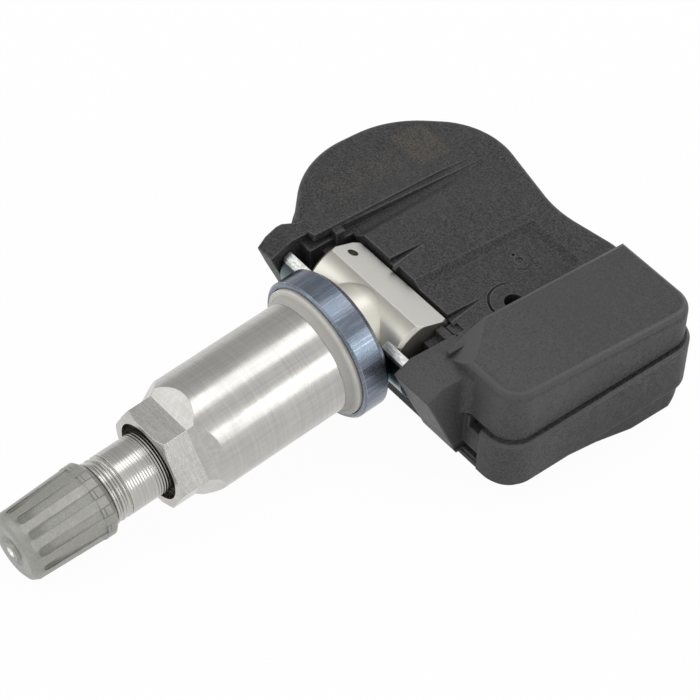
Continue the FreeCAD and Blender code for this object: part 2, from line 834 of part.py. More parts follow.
def make_contacts():
    """Spot-welded strips from the cell's two faces to the board."""
    top = board_top - board_t - contact_gap
    y0, y1 = battery_y - contact_w / 2, battery_y + contact_w / 2
    low = top - contact_t - battery_t
    x_out = battery_x + battery_r + contact_gap
    x_in = battery_x - battery_r / 2
    upper = fused([
        block(x_in, battery_x + battery_r / 2, y0, y1, top - contact_t, top),
        block(x_in, x_in + contact_t, y0, y1, top - contact_t, board_top - board_t),
    ])
    lower = fused([
        block(battery_x, x_out + contact_t, y0, y1, low - contact_t, low),
        block(x_out, x_out + contact_t, y0, y1, low - contact_t, board_top - board_t),
    ])
    return upper, lower


def on_board(x, y, length, width, height):
    return block(x - length / 2, x + length / 2, y - width / 2, y + width / 2, board_top, board_top + height)


def make_sensor():
    body = on_board(port_x, port_y, sensor_size, sensor_size, sensor_h)
    return body.cut(Part.makeCylinder(port_r * 0.5, 1, Vector(port_x, port_y, board_top + sensor_h - 0.5)))


def make_port_seal():
    ring = Part.makeCylinder(port_r + port_seal_w, 6, Vector(port_x, port_y, board_top + sensor_h))
    ring = ring.cut(above(mid_front_z - wall))
    return ring.cut(Part.makeCylinder(port_r, 10, Vector(port_x, port_y, board_top)))


def make_coil():
    x, y = box_x + coil_inset, cavity_front + coil_back
    core = on_board(x, y, coil_w, coil_l, coil_h)
    bare = coil_l - 2 * coil_end
    waist = on_board(x, y, 2 * coil_w, bare, 2 * coil_h)
    waist = waist.cut(on_board(x, y, coil_w - 2 * coil_wire_t, bare, 2 * coil_h))
    core = core.cut(waist.cut(block(-far, far, -far, far, -far, board_top + coil_wire_t)))
    wound = bare / 2 - running_gap
    x0, x1, z1 = x - coil_w / 2, x + coil_w / 2, board_top + coil_h
    winding = block(x0, x1, y - wound, y + wound, board_top + coil_wire_t, z1)
    winding = winding.cut(block(x0 + coil_wire_t, x1 - coil_wire_t, -far, far, board_top, z1 - coil_wire_t))
    return core.cut(winding), winding


def make_chip_capacitors():
    chips = []
    for i in range(cap_chip_count):
        chips.append(on_board(chips_x, cavity_front + 3.0 + i * 1.6, cap_chip_l, cap_chip_w, cap_chip_h))
    return Part.makeCompound(chips)


def make_antenna():
    """Stamped bow over the board's right end, on two feet."""
    x1 = box_right - wall - 1.2
    y0, y1 = cavity_front + 2.0, box_back - wall - 3.0
    top = board_top + antenna_h
    bar = block(x1 - antenna_w, x1, y0, y1, top - antenna_t, top)
    feet = [block(x1 - antenna_w, x1, y0, y0 + antenna_t, board_top, top),
            block(x1 - antenna_w, x1, y1 - antenna_t, y1, board_top, top)]
    return fused([bar] + feet)


def build():
    upper_contact, lower_contact = make_contacts()
    coil_core, coil_winding = make_coil()
    valve = {
        "valve_stem": along_valve(make_stem()),
        "thrust_washer": along_valve(make_washer()),
        "rim_seal": along_valve(make_rim_seal()),
        "sleeve_nut": along_valve(make_sleeve_nut()),
        "valve_cap": along_valve(make_cap()),
        "cap_seal": along_valve(make_cap_seal()),
        "core_body": along_valve(make_core_body()),
        "core_seal_ring": along_valve(make_core_seal_ring()),
        "core_pin": along_valve(make_core_pin()),
        "core_cup_seal": along_valve(make_core_cup()),
        "core_spring": along_valve(make_core_spring()),
    }
    housing = {
        "housing_shell": make_shell(),
        "base_cover": make_base_cover(),
        "retaining_clip": make_clip(),
        "circuit_board": make_board(),
        "battery_cell": make_battery(),
        "battery_contact_upper": upper_contact,
        "battery_contact_lower": lower_contact,
        "sensor_module": make_sensor(),
        "port_seal": make_port_seal(),
        "radio_chip": make_radio_chip(),
        "quartz_crystal": on_board(crystal_x, crystal_y, crystal_l, crystal_w, crystal_h),
        "coil_core": coil_core,
        "coil_winding": coil_winding,
        "chip_capacitors": make_chip_capacitors(),
        "antenna_bow": make_antenna(),
    }
    for shape in valve.values():
        shape.translate(-seat)
    for shape in housing.values():
        shape.translate(-seat - Vector(side_play, 0, 0))
    return {**valve, **housing}


os.makedirs("parts", exist_ok=True)
for name, shape in build().items():
    shape.exportStep("parts/%s.step" % name)
    print(name, shape.ShapeType, len(shape.Solids), shape.isValid(), round(shape.Volume, 2))
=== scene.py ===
import bpy
import bmesh
import json
import math
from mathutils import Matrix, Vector


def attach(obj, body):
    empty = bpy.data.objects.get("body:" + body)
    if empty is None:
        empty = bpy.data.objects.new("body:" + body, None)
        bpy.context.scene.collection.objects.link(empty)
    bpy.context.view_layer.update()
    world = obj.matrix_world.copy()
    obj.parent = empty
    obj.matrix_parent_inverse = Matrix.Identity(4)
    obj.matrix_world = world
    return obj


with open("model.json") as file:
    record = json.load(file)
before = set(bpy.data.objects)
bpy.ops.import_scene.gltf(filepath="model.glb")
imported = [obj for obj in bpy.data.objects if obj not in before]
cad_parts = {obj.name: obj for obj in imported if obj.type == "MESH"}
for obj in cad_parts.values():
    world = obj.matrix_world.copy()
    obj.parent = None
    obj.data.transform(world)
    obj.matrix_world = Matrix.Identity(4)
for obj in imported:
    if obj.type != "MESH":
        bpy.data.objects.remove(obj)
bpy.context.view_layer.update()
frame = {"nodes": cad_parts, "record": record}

mm = 0.001

# The valve points towards -Y and dips; stations are measured along it from the rim's seat
valve_dip = math.radians(4.0)
valve_axis = Vector((0, -math.cos(valve_dip), -math.sin(valve_dip)))
valve_up = Vector((0, -math.sin(valve_dip), math.cos(valve_dip)))

# The swivel's axis lies this far behind the rim's seat
swivel_s = 10.8 * mm
swivel = Vector((0, 10.7737, 0.7534)) * mm

# Cross head: its slanting top face, its half length, and the stations of the neck beside it, where a
# painted highlight lies
flat_tilt = math.radians(25.0)
flat_height = 3.85 * mm
flat_color = (0.64, 0.632, 0.6)
head_half = 7.95 * mm
neck_from = -9.2 * mm
neck_to = -5.2 * mm

# Fine cut rings on the shank, and the cap's thread on the stem's tail
ring_pitch = 0.34 * mm
ring_depth = 0.013 * mm
ring_start = 22.4 * mm
ring_full = 23.0 * mm
ring_end = 29.2 * mm
thread_pitch = 0.8 * mm
thread_depth = 0.12 * mm
thread_from = 30.2 * mm
thread_to = 38.9 * mm

# Cap: its collar, its flutes with their half width and line as shares of the pitch, the stations of painted
# shade at the flutes' ends, and its end with a moat of painted shade and a dimple with a painted highlight
collar_from = 29.9 * mm
collar_to = 31.7 * mm
collar_line = 31.3 * mm
flute_count = 12
flute_share = 0.24
line_share = 0.02
line_soft = 0.012
flute_shade_from = 38.1 * mm
flute_shade_to = 40.2 * mm
cap_face = 41.3 * mm
moat_in_r = 1.5 * mm
moat_out_r = 2.0 * mm
dimple_r = 0.63 * mm
dimple_highlight_color = (0.85, 0.85, 0.84)

# Sleeve nut, seal and clip
milled_from = 19.2 * mm
seal_groove_r = 7.75 * mm
clip_bright_z = 2.7 * mm

# Housing: where its box begins, the seam round it, and the painted highlight on the box's rounded top and
# slopes, told by its normals' Z
box_from_x = 9.5 * mm
box_fade = 2 * mm
wear_and_sheen_add = 0.12
seam_z = -1.85 * mm
crest_tilt = (0.72, 0.9)
slope_tilt = (0.4, 0.72)

# Housing: the area of painted light by the right ear, and the two etched areas as X and Y limits with a
# strength
pale_x = (6 * mm, 11 * mm)
pale_y = (25 * mm, 12 * mm)
etched_areas = (
    (-19.2 * mm, -13.2 * mm, 28.6 * mm, 33.6 * mm, 0.38),
    (-17.6 * mm, -14.0 * mm, 15.8 * mm, 27.2 * mm, 0.14),
)
etched_color = (0.13, 0.105, 0.065)


# Node helpers

class Nodes:
    """A node tree built by small calls, each input of which is a socket or a value."""

    def __init__(self, tree):
        self.tree = tree

    def node(self, kind, **values):
        made = self.tree.nodes.new(kind)
        for key, value in values.items():
            setattr(made, key, value)
        return made

    def put(self, socket, value):
        if hasattr(value, "is_linked") and value.is_output:
            self.tree.links.new(value, socket)
        else:
            socket.default_value = value

    def math(self, how, a, b=0.0):
        made = self.node("ShaderNodeMath", operation=how)
        self.put(made.inputs[0], a)
        self.put(made.inputs[1], b)
        return made.outputs[0]

    def times(self, a, b):
        return self.math("MULTIPLY", a, b)

    def plus(self, a, b):
        return self.math("ADD", a, b)

    def larger(self, a, b):
        return self.math("MAXIMUM", a, b)

    def ramp(self, value, low, high, to_low=0.0, to_high=1.0):
        made = self.node("ShaderNodeMapRange", clamp=True)
        self.put(made.inputs["Value"], value)
        made.inputs["From Min"].default_value = low
        made.inputs["From Max"].default_value = high
        made.inputs["To Min"].default_value = to_low
        made.inputs["To Max"].default_value = to_high
        return made.outputs["Result"]

    def between(self, value, low, high, soft):
        """1 where a value lies between two limits, fading to 0 outside them."""
        rise = self.ramp(value, low - soft, low + soft)
        fall = self.ramp(value, high + soft, high - soft)
        return self.times(rise, fall)

    def mix(self, share, a, b):
        made = self.node("ShaderNodeMix")
        self.put(made.inputs["Factor"], share)
        self.put(made.inputs["A"], a)
        self.put(made.inputs["B"], b)
        return made.outputs["Result"]

    def mix_shaders(self, share, a, b):
        made = self.node("ShaderNodeMixShader")
        for socket, value in zip(made.inputs, (share, a, b)):
            self.put(socket, value)
        return made.outputs[0]

    def split(self, vector):
        made = self.node("ShaderNodeSeparateXYZ")
        self.put(made.inputs[0], vector)
        return made.outputs

    def joined(self, x, y, z):
        made = self.node("ShaderNodeCombineXYZ")
        for socket, value in zip(made.inputs, (x, y, z)):
            self.put(socket, value)
        return made.outputs[0]

    def ray_kinds(self):
        """Whether a ray comes from the camera, and whether it was reflected or let through."""
        path = self.node("ShaderNodeLightPath").outputs
        return path["Is Camera Ray"], self.larger(path["Is Glossy Ray"], path["Is Transmission Ray"])


class Look(Nodes):
    """A procedural material with one Principled shader."""

    def __init__(self, name, color, rough, metal=0.0, spec=0.5):
        self.mat = bpy.data.materials.new(name)
        self.mat.use_nodes = True
        super().__init__(self.mat.node_tree)
        self.shader = self.tree.nodes["Principled BSDF"]
        self.shader.inputs["Base Color"].default_value = (*color, 1)
        self.shader.inputs["Roughness"].default_value = rough
        self.shader.inputs["Metallic"].default_value = metal
        self.shader.inputs["Specular IOR Level"].default_value = spec
        texture = self.node("ShaderNodeTexCoord")
        self.coords = texture.outputs["Object"]
        self.facing = texture.outputs["Normal"]
        self.normal = None

    def color(self, value):
        self.put(self.shader.inputs["Base Color"], value)

    def roughness(self, value):
        self.put(self.shader.inputs["Roughness"], value)

    def noise(self, vector, scale, detail=3.0, rough=0.55, distortion=0.0):
        """Noise whose scale is its number of features to a metre."""
        made = self.node("ShaderNodeTexNoise")
        self.put(made.inputs["Vector"], vector)
        made.inputs["Scale"].default_value = scale
        made.inputs["Detail"].default_value = detail
        made.inputs["Roughness"].default_value = rough
        made.inputs["Distortion"].default_value = distortion
        return made.outputs["Fac"]

    def blend(self, share, a, b):
        """Mix of two colours, which are the node's inputs 6 and 7 and its output 2."""
        made = self.node("ShaderNodeMix", data_type="RGBA")
        self.put(made.inputs["Factor"], share)
        self.put(made.inputs[6], a if hasattr(a, "is_linked") else (*a, 1))
        self.put(made.inputs[7], b if hasattr(b, "is_linked") else (*b, 1))
        return made.outputs[2]

    def bump(self, height, distance):
        made = self.node("ShaderNodeBump")
        self.put(made.inputs["Height"], height)
        made.inputs["Distance"].default_value = distance
        made.inputs["Strength"].default_value = 1.0
        if self.normal is not None:
            self.put(made.inputs["Normal"], self.normal)
        self.normal = made.outputs["Normal"]
        self.put(self.shader.inputs["Normal"], self.normal)

    def edges(self, radius, none=0.98, full=0.8):
        """Rounds the edges' shading and returns how close a point is to one, by the normal's turn."""
        made = self.node("ShaderNodeBevel", samples=6)
        made.inputs["Radius"].default_value = radius
        flat = self.node("ShaderNodeNewGeometry").outputs["Normal"]
        dot = self.node("ShaderNodeVectorMath", operation="DOT_PRODUCT")
        self.put(dot.inputs[0], made.outputs["Normal"])
        self.put(dot.inputs[1], flat)
        self.normal = made.outputs["Normal"]
        self.put(self.shader.inputs["Normal"], self.normal)
        return self.ramp(dot.outputs["Value"], none, full)

    def openness(self, reach):
        """1 on open surfaces, falling towards 0 in creases."""
        made = self.node("ShaderNodeAmbientOcclusion", samples=4)
        made.inputs["Distance"].default_value = reach
        return made.outputs["AO"]

    def turned(self):
        """Coordinates turned so that the valve lies along -Y."""
        made = self.node("ShaderNodeMapping")
        self.put(made.inputs["Vector"], self.coords)
        made.inputs["Rotation"].default_value = (-valve_dip, 0, 0)
        return self.split(made.outputs["Vector"])

    def station(self, parts):
        """Distance along the valve from the rim's seat."""
        return self.times(parts["Y"], -1.0)

    def angle(self, parts):
        """Angle round the valve's axis."""
        return self.math("ARCTAN2", parts["Z"], parts["X"])

    def off_axis(self, parts):
        """Distance from the valve's axis."""
        spread = self.node("ShaderNodeVectorMath", operation="LENGTH")
        self.put(spread.inputs[0], self.joined(parts["X"], 0.0, parts["Z"]))
        return spread.outputs["Value"]

    def streaks(self, parts, across, along, rough=0.6, distortion=0.0):
        """Noise drawn out along the valve (along small) or round it (along large)."""
        scaled = [self.times(part, k) for part, k in zip(parts, (across, along, across))]
        return self.noise(self.joined(*scaled), 1.0, 3.0, rough, distortion)


def lighter(color, share, add=0.0):
    """The colour times a share, which darkens it where the share is below 1."""
    return tuple(min(c * share + add, 1.0) for c in color)


# Materials

def sleeve_metal(name, color, rough, hatch):
    """Lathe-turned metal with a faint weave of rings and strokes, chatter on the milled hexagon, and a
    painted highlight along its edges.
    """
    look = Look(name, color, rough, metal=1.0)
    near = look.edges(0.14 * mm)
    parts = look.turned()
    s = look.station(parts)
    strands = look.streaks(parts, across=2600.0, along=90.0)
    arcs = look.streaks(parts, across=90.0, along=2600.0)
    cloud = look.noise(look.coords, 260.0, rough=0.5)
    weave = look.times(look.plus(strands, arcs), 0.5)
    base = look.blend(look.ramp(weave, 0.4, 0.6), lighter(color, 1 - hatch), lighter(color, 1 + hatch))
    base = look.blend(look.ramp(cloud, 0.35, 0.65, 0.0, 0.25), base, lighter(color, 0.88))
    flats = look.ramp(s, milled_from, milled_from + 0.1 * mm)
    chatter = look.streaks(parts, across=900.0, along=5200.0, distortion=1.2)
    marks = look.times(look.ramp(chatter, 0.48, 0.62), flats)
    base = look.blend(look.times(marks, 0.7), base, lighter(color, 1.2))
    # Painted highlight along the edges
    base = look.blend(look.times(near, 0.55), base, lighter(color, 1.35, 0.03))
    look.color(base)
    look.roughness(look.ramp(cloud, 0.35, 0.65, rough - 0.04, rough + 0.04))
    look.bump(weave, 0.0025 * mm)
    look.bump(look.times(chatter, flats), 0.03 * mm)
    return look


def cut_rings(look, s):
    """Fine rings cut in the shank, which fade towards the cap."""
    wave = look.math("SINE", look.times(s, 2 * math.pi / ring_pitch))
    fade = look.ramp(s, ring_end, ring_full)
    here = look.times(fade, look.ramp(s, ring_start - 0.3 * mm, ring_start))
    look.bump(look.times(wave, here), ring_depth)


def cut_thread(look, s, parts):
    """The cap's thread on the stem's tail, seen when the cap is off."""
    twist = look.math("DIVIDE", look.angle(parts), 2 * math.pi)
    turns = look.plus(look.math("DIVIDE", s, thread_pitch), twist)
    helix = look.math("SINE", look.times(turns, 2 * math.pi))
    tail = look.between(s, thread_from, thread_to, soft=0.1 * mm)
    look.bump(look.times(helix, tail), thread_depth)


def stem_metal(name, color, head_color, rough):
    """Turned shank with cut rings and a thread, and a smooth satin head with a slanting flat; a painted
    highlight on the neck and along the edges.
    """
    look = Look(name, color, rough, metal=1.0)
    near = look.edges(0.16 * mm)
    parts = look.turned()
    s = look.station(parts)
    shank = look.ramp(s, 0.0, 0.5 * mm)
    arcs = look.streaks(parts, across=90.0, along=4200.0)
    cloud = look.noise(look.coords, 380.0, rough=0.5)
    base = look.blend(look.ramp(arcs, 0.4, 0.6), lighter(color, 0.93), lighter(color, 1.07))
    head = look.blend(look.ramp(cloud, 0.36, 0.66), head_color, lighter(head_color, 0.9))
    up = look.times(parts["Z"], math.cos(flat_tilt))
    away = look.times(look.math("SUBTRACT", parts["Y"], swivel_s), math.sin(flat_tilt))
    flat = look.ramp(look.plus(up, away), flat_height - 0.05 * mm, flat_height - 0.02 * mm)
    head = look.blend(flat, head, flat_color)
    # Painted highlight: the neck beside the head is paler
    neck = look.between(s, neck_from, neck_to, soft=0.8 * mm)
    head = look.blend(neck, head, lighter(head_color, 1.6))
    base = look.blend(shank, head, base)
    # Painted highlight along the edges
    base = look.blend(look.times(near, 0.75), base, lighter(color, 1.5, 0.12))
    look.color(base)
    ends = look.ramp(look.math("ABSOLUTE", parts["X"]), head_half - 0.15 * mm, head_half - 0.05 * mm)
    matte = look.times(look.larger(flat, ends), look.ramp(s, 0.0, -0.5 * mm))
    satin = look.plus(look.times(matte, 0.08), look.ramp(s, 0.0, -0.5 * mm, 0.0, 0.2))
    look.roughness(look.plus(look.ramp(cloud, 0.35, 0.65, rough - 0.03, rough + 0.05), satin))
    look.bump(look.times(arcs, shank), 0.003 * mm)
    cut_rings(look, s)
    cut_thread(look, s, parts)
    return look


def grained_plastic(name, color, rough, grain=0.25 * mm, depth=0.045 * mm, wear_and_sheen=1.0, contrast=0.65):
    """Moulded plastic: eroded tool grain, slow mottling, paler edges that are partly wear and partly
    painted highlight, painted light and shade on the box, and painted shade in creases.
    """
    look = Look(name, color, rough, spec=0.2)
    near = look.edges(0.4 * mm)
    air = look.openness(0.9 * mm)
    near = look.times(near, look.ramp(air, 0.6, 0.92))
    fine = look.noise(look.coords, 1.0 / grain, detail=2.0, rough=0.7)
    mid = look.noise(look.coords, 1.0 / (4 * grain), rough=0.6)
    wide = look.noise(look.coords, 110.0, rough=0.5)
    dark, pale = lighter(color, 1 - contrast), lighter(color, 1 + contrast, contrast * 0.03)
    base = look.blend(look.ramp(fine, 0.36, 0.64), dark, pale)
    base = look.blend(look.ramp(mid, 0.42, 0.66, 0.0, 0.3), base, lighter(color, 1 - 0.5 * contrast))
    base = look.blend(look.ramp(wide, 0.4, 0.7, 0.0, 0.45), base, lighter(color, 1 + 0.8 * contrast))
    # Paler edges: partly wear, partly painted highlight
    broken = look.times(near, look.ramp(fine, 0.25, 0.6, 0.45, 1.0))
    base = look.blend(look.times(broken, wear_and_sheen), base, lighter(color, 1.6, wear_and_sheen_add))
    # Painted highlight on the box's top, painted light on its walls above the seam and painted shade below
    # it
    base = box_painted_light(look, base, fine, color, wear_and_sheen)
    # Painted shade: darker in creases, by ambient occlusion
    look.base = look.blend(look.ramp(air, 0.75, 0.25, 0.0, 0.5), base, lighter(color, 0.5))
    look.fine = fine
    look.color(look.base)
    slow = look.times(look.plus(mid, wide), 0.5)
    look.roughness(look.ramp(slow, 0.35, 0.65, rough - 0.06, rough + 0.08))
    look.bump(look.plus(look.times(fine, 0.6), mid), depth)
    return look


def box_painted_light(look, base, fine, color, wear_and_sheen):
    """Painted highlight along the box's rounded top and slopes, broken up by the grain; painted light on
    the box's walls above the seam, and painted shade below the seam over the whole part.
    """
    place = look.split(look.coords)
    tilt = look.split(look.facing)["Z"]
    on_box = look.ramp(place["X"], box_from_x, box_from_x + box_fade)
    # Painted highlight on the box's rounded top and slopes, told by the normal's Z
    crest = look.times(look.between(tilt, *crest_tilt, soft=0.03), look.ramp(fine, 0.3, 0.6, 0.5, 1.0))
    slope = look.times(look.between(tilt, *slope_tilt, soft=0.05), 0.4)
    lit = look.times(look.times(look.plus(slope, crest), on_box), wear_and_sheen * 0.9)
    base = look.blend(lit, base, lighter(color, 1.9, wear_and_sheen_add * 0.75))
    # Painted light: the box's walls paler above the seam
    upper = look.times(look.ramp(place["Z"], seam_z, seam_z + 6 * mm, 0.0, 0.5 * wear_and_sheen), on_box)
    base = look.blend(upper, base, lighter(color, 1.7, 0.016))
    # Painted shade: darker below the seam
    lower = look.ramp(place["Z"], seam_z - 1 * mm, seam_z - 7 * mm, 0.0, 0.5 * wear_and_sheen)
    return look.blend(lower, base, lighter(color, 0.7))


def etched_plastic(name, color, rough):
    """The housing's plastic, with painted light by the right ear and the two faint brown areas of a marking
    laser.
    """
    look = grained_plastic(name, color, rough)
    x, y = look.split(look.coords)[:2]
    # Painted light: paler by the right ear
    ear_painted_light = look.times(look.ramp(y, *pale_y), look.ramp(x, *pale_x))
    ear_painted_light = look.times(ear_painted_light, look.ramp(look.fine, 0.36, 0.6, 0.3, 1.0))
    base = look.blend(look.times(ear_painted_light, 0.7), look.base, lighter(color, 2.0, 0.012))
    for x0, x1, y0, y1, share in etched_areas:
        inside = look.times(look.between(x, x0, x1, soft=0.3 * mm), look.between(y, y0, y1, soft=0.3 * mm))
        speckle = look.times(inside, look.ramp(look.fine, 0.4, 0.62, 0.25, 1.0))
        base = look.blend(look.times(speckle, share), base, etched_color)
    look.color(base)
    return look


def cap_metal(name, color, rough):
    """Satin cap: speckle, lines on its collar, painted shade at the flute ends, painted shade in a moat and
    a smoother dimple with a painted highlight on its end, and a painted highlight along its edges.
    """
    look = Look(name, color, rough, metal=0.55, spec=0.5)
    near = look.edges(0.12 * mm)
    fine = look.noise(look.coords, 4200.0, detail=2.0, rough=0.7)
    cloud = look.noise(look.coords, 500.0)
    parts = look.turned()
    s = look.station(parts)
    base = look.blend(look.ramp(fine, 0.35, 0.65), lighter(color, 0.88), lighter(color, 1.12))
    base = look.blend(look.ramp(cloud, 0.35, 0.7, 0.0, 0.6), base, lighter(color, 0.9))

    # How far a point lies from the middle of the nearest flute, in shares of the pitch
    flute_angle = 2 * math.pi / flute_count
    turn = look.math("DIVIDE", look.angle(parts), flute_angle)
    turn = look.plus(turn, flute_count + 0.5)
    place = look.math("ABSOLUTE", look.math("SUBTRACT", look.math("FRACT", turn), 0.5))

    side = look.between(place, flute_share - line_share, flute_share + line_share, soft=line_soft)
    here = look.between(s, collar_line - 0.05 * mm, collar_line + 0.05 * mm, soft=0.03 * mm)
    cross = look.times(look.ramp(place, flute_share, flute_share - line_share), here)
    band = look.between(s, collar_from, collar_to, soft=0.05 * mm)
    lines = look.larger(look.times(side, band), cross)
    base = look.blend(look.times(lines, 0.5), base, lighter(color, 0.35))
    in_flute = look.ramp(place, flute_share, flute_share - 0.05)
    # Painted shade at the flutes' ends
    flute_end_shade = look.times(in_flute, look.between(s, flute_shade_from, flute_shade_to, soft=0.5 * mm))
    base = look.blend(look.times(flute_end_shade, 0.5), base, lighter(color, 0.42))

    off_axis = look.off_axis(parts)
    on_end = look.ramp(s, cap_face - 0.25 * mm, cap_face - 0.15 * mm)
    # Painted shade in the moat round the boss
    moat = look.times(look.between(off_axis, moat_in_r, moat_out_r, soft=0.12 * mm), on_end)
    base = look.blend(look.times(moat, 0.45), base, lighter(color, 0.45))
    # Painted highlight: the dimple is bright as well as smoother
    dimple = look.times(look.ramp(off_axis, dimple_r + 0.03 * mm, dimple_r - 0.03 * mm), on_end)
    base = look.blend(dimple, base, dimple_highlight_color)
    # Painted highlight along the edges
    base = look.blend(look.times(near, 0.4), base, lighter(color, 1.35, 0.03))
    look.color(base)
    matte = look.ramp(cloud, 0.35, 0.65, rough - 0.04, rough + 0.06)
    look.roughness(look.math("SUBTRACT", matte, look.times(dimple, rough * 0.6)))
    look.bump(fine, 0.005 * mm)
    look.bump(look.times(lines, -1.0), 0.05 * mm)
    return look


def plated_steel(name, color, alt, rough, scratch=0.0, edge=0.18):
    """Plated steel: tone drifts between two tints, with a painted highlight along its edges and fine
    scratches.
    """
    look = Look(name, color, rough, metal=1.0)
    near = look.edges(0.15 * mm)
    drift = look.noise(look.coords, 180.0, detail=4.0, distortion=0.8)
    fine = look.noise(look.coords, 6500.0, rough=0.6)
    base = look.blend(look.ramp(drift, 0.36, 0.64), color, alt)
    if scratch:
        strokes = look.streaks(look.turned(), across=3600.0, along=160.0, rough=0.75)
        base = look.blend(look.ramp(strokes, 0.5, 0.72, 0.0, scratch), base, lighter(color, 1.6, 0.1))
        look.bump(strokes, 0.012 * mm)
    # Painted highlight along the edges
    base = look.blend(look.times(near, 0.85), base, lighter(color, 1.6, edge))
    look.color(base)
    look.roughness(look.ramp(fine, 0.3, 0.7, rough - 0.05, rough + 0.08))
    look.bump(fine, 0.002 * mm)
    return look


def clip_steel(name, color, tint, rough):
    """Sawn strip: bright end faces with saw marks, partly bare metal and partly painted highlight, over a
    tinted band that darkens with painted shade towards them.
    """
    look = Look(name, color, rough, metal=1.0)
    look.edges(0.1 * mm)
    x, y, z = look.split(look.coords)
    saw = look.noise(look.joined(look.times(x, 1400.0), look.times(y, 5200.0), 0.0), 1.0, rough=0.7)
    # Bright end faces: partly bare sawn metal, partly painted highlight
    ends = look.ramp(z, clip_bright_z - 0.15 * mm, clip_bright_z)
    bright = look.blend(look.ramp(saw, 0.42, 0.6), lighter(color, 0.62), color)
    # Painted shade: the tinted band darkens towards the bright ends
    low = look.blend(look.ramp(z, 0.0, clip_bright_z), tint, lighter(tint, 0.25))
    look.color(look.blend(ends, low, bright))
    look.bump(saw, 0.006 * mm)
    return look


def dull_rubber(name, color, rough, groove_r=0.0):
    """Matt rubber; within groove_r of the valve's axis it is darker with painted shade, as in a ring's
    inner groove.
    """
    look = Look(name, color, rough, spec=0.3)
    look.edges(0.1 * mm)
    fine = look.noise(look.coords, 7000.0, rough=0.6)
    wide = look.noise(look.coords, 400.0, rough=0.5)
    base = look.blend(look.ramp(wide, 0.3, 0.7), color, lighter(color, 0.88))
    if groove_r:
        # Painted shade in the groove next to the sleeve
        inner = look.ramp(look.off_axis(look.turned()), groove_r + 0.12 * mm, groove_r - 0.12 * mm)
        base = look.blend(look.times(inner, 0.8), base, lighter(color, 0.62))
    look.color(base)
    look.roughness(look.ramp(fine, 0.3, 0.7, rough - 0.06, rough + 0.06))
    look.bump(fine, 0.004 * mm)
    return look


def hidden_resin(name, color, rough, grain, depth):
    """Plain fine-grained resin for the pieces inside."""
    return grained_plastic(name, color, rough, grain, depth, wear_and_sheen=0.3, contrast=0.15)


brass = (0.62, 0.45, 0.16)
zinc = (0.135, 0.17, 0.21)
zinc_alt = (0.165, 0.17, 0.215)
looks = {
    "sleeve": sleeve_metal("sleeve_turned", (0.46, 0.452, 0.43), 0.25, hatch=0.08),
    "stem": stem_metal("stem_turned", (0.46, 0.45, 0.425), (0.42, 0.407, 0.367), 0.22),
    "washer": plated_steel("washer_zinc", zinc, zinc_alt, 0.24, scratch=0.7, edge=0.42),
    "clip": clip_steel("clip_steel", (0.72, 0.73, 0.71), (0.16, 0.22, 0.235), 0.28),
    "seal": dull_rubber("seal_rubber", (0.64, 0.624, 0.585), 0.6, seal_groove_r),
    "cap": cap_metal("cap_satin", (0.34, 0.338, 0.31), 0.42),
    "housing": etched_plastic("housing_plastic", (0.036, 0.036, 0.037), 0.5),
    "cover": grained_plastic("cover_plastic", (0.034, 0.034, 0.035), 0.5),
    "core": stem_metal("core_brass", brass, brass, 0.3),
    "inner_rubber": dull_rubber("inner_rubber", (0.03, 0.03, 0.03), 0.7),
    "spring": plated_steel("spring_wire", (0.45, 0.45, 0.45), (0.5, 0.5, 0.5), 0.28),
    "board": hidden_resin("board_mask", (0.02, 0.12, 0.05), 0.35, 0.3 * mm, 0.004 * mm),
    "cell": plated_steel("cell_nickel", (0.5, 0.5, 0.48), (0.45, 0.45, 0.44), 0.28),
    "contact": plated_steel("contact_nickel", (0.55, 0.53, 0.48), (0.5, 0.49, 0.46), 0.25),
    "chip": hidden_resin("chip_resin", (0.015, 0.015, 0.016), 0.55, 0.08 * mm, 0.005 * mm),
    "ferrite": hidden_resin("ferrite_grey", (0.06, 0.055, 0.055), 0.6, 0.1 * mm, 0.008 * mm),
    "copper": plated_steel("copper_wire", (0.65, 0.28, 0.13), (0.6, 0.24, 0.12), 0.3),
}

slot_of = {row["node"]: row["material_slot"] for row in frame["record"]["subparts"]}
for name, piece in frame["nodes"].items():
    piece.data.materials.clear()
    piece.data.materials.append(looks[slot_of[name]].mat)


# The saddle where the neck flares out of the cross head, over the solid's plain cone.
# Its sizes are in millimetres from the swivel, and its angles in degrees from +X.

neck_r, neck_s = 3.4, 2.2
shoulder_r, shoulder_s = 5.6, 5.44
saddle_profile = [
    (0.5, 4.25),
    (1.1, 4.55),
    (1.8, 4.86),
    (2.4, 5.08),
    (3.0, 5.26),
    (3.6, 5.43),
    (4.2, 5.6),
    (4.8, 5.77),
    (5.38, 5.94),
]
saddle_from = -30.0
saddle_to = 210.0
saddle_fade = 28.0
saddle_steps = 120
saddle_sunk = 0.1
saddle_root = 0.35


def cone_r(s):
    return neck_r + max(0.0, s - neck_s) * (shoulder_r - neck_r) / (shoulder_s - neck_s)


def saddle_section(angle):
    """Points out along the saddle's profile and back inside the solid; the profile sinks at both ends."""
    share = max(0.0, min(1.0, (angle - saddle_from) / saddle_fade, (saddle_to - angle) / saddle_fade))
    share = share * share * (3 - 2 * share)
    turn = math.radians(angle)
    way = Vector((1, 0, 0)) * math.cos(turn) + valve_up * math.sin(turn)
    places = []
    for s, r in saddle_profile:
        low = cone_r(s) - saddle_sunk
        places.append((s, low + (r - low) * share))
    for s, r in reversed(saddle_profile):
        places.append((s, cone_r(s) - saddle_root))
    return [swivel + (valve_axis * s + way * r) * mm for s, r in places]


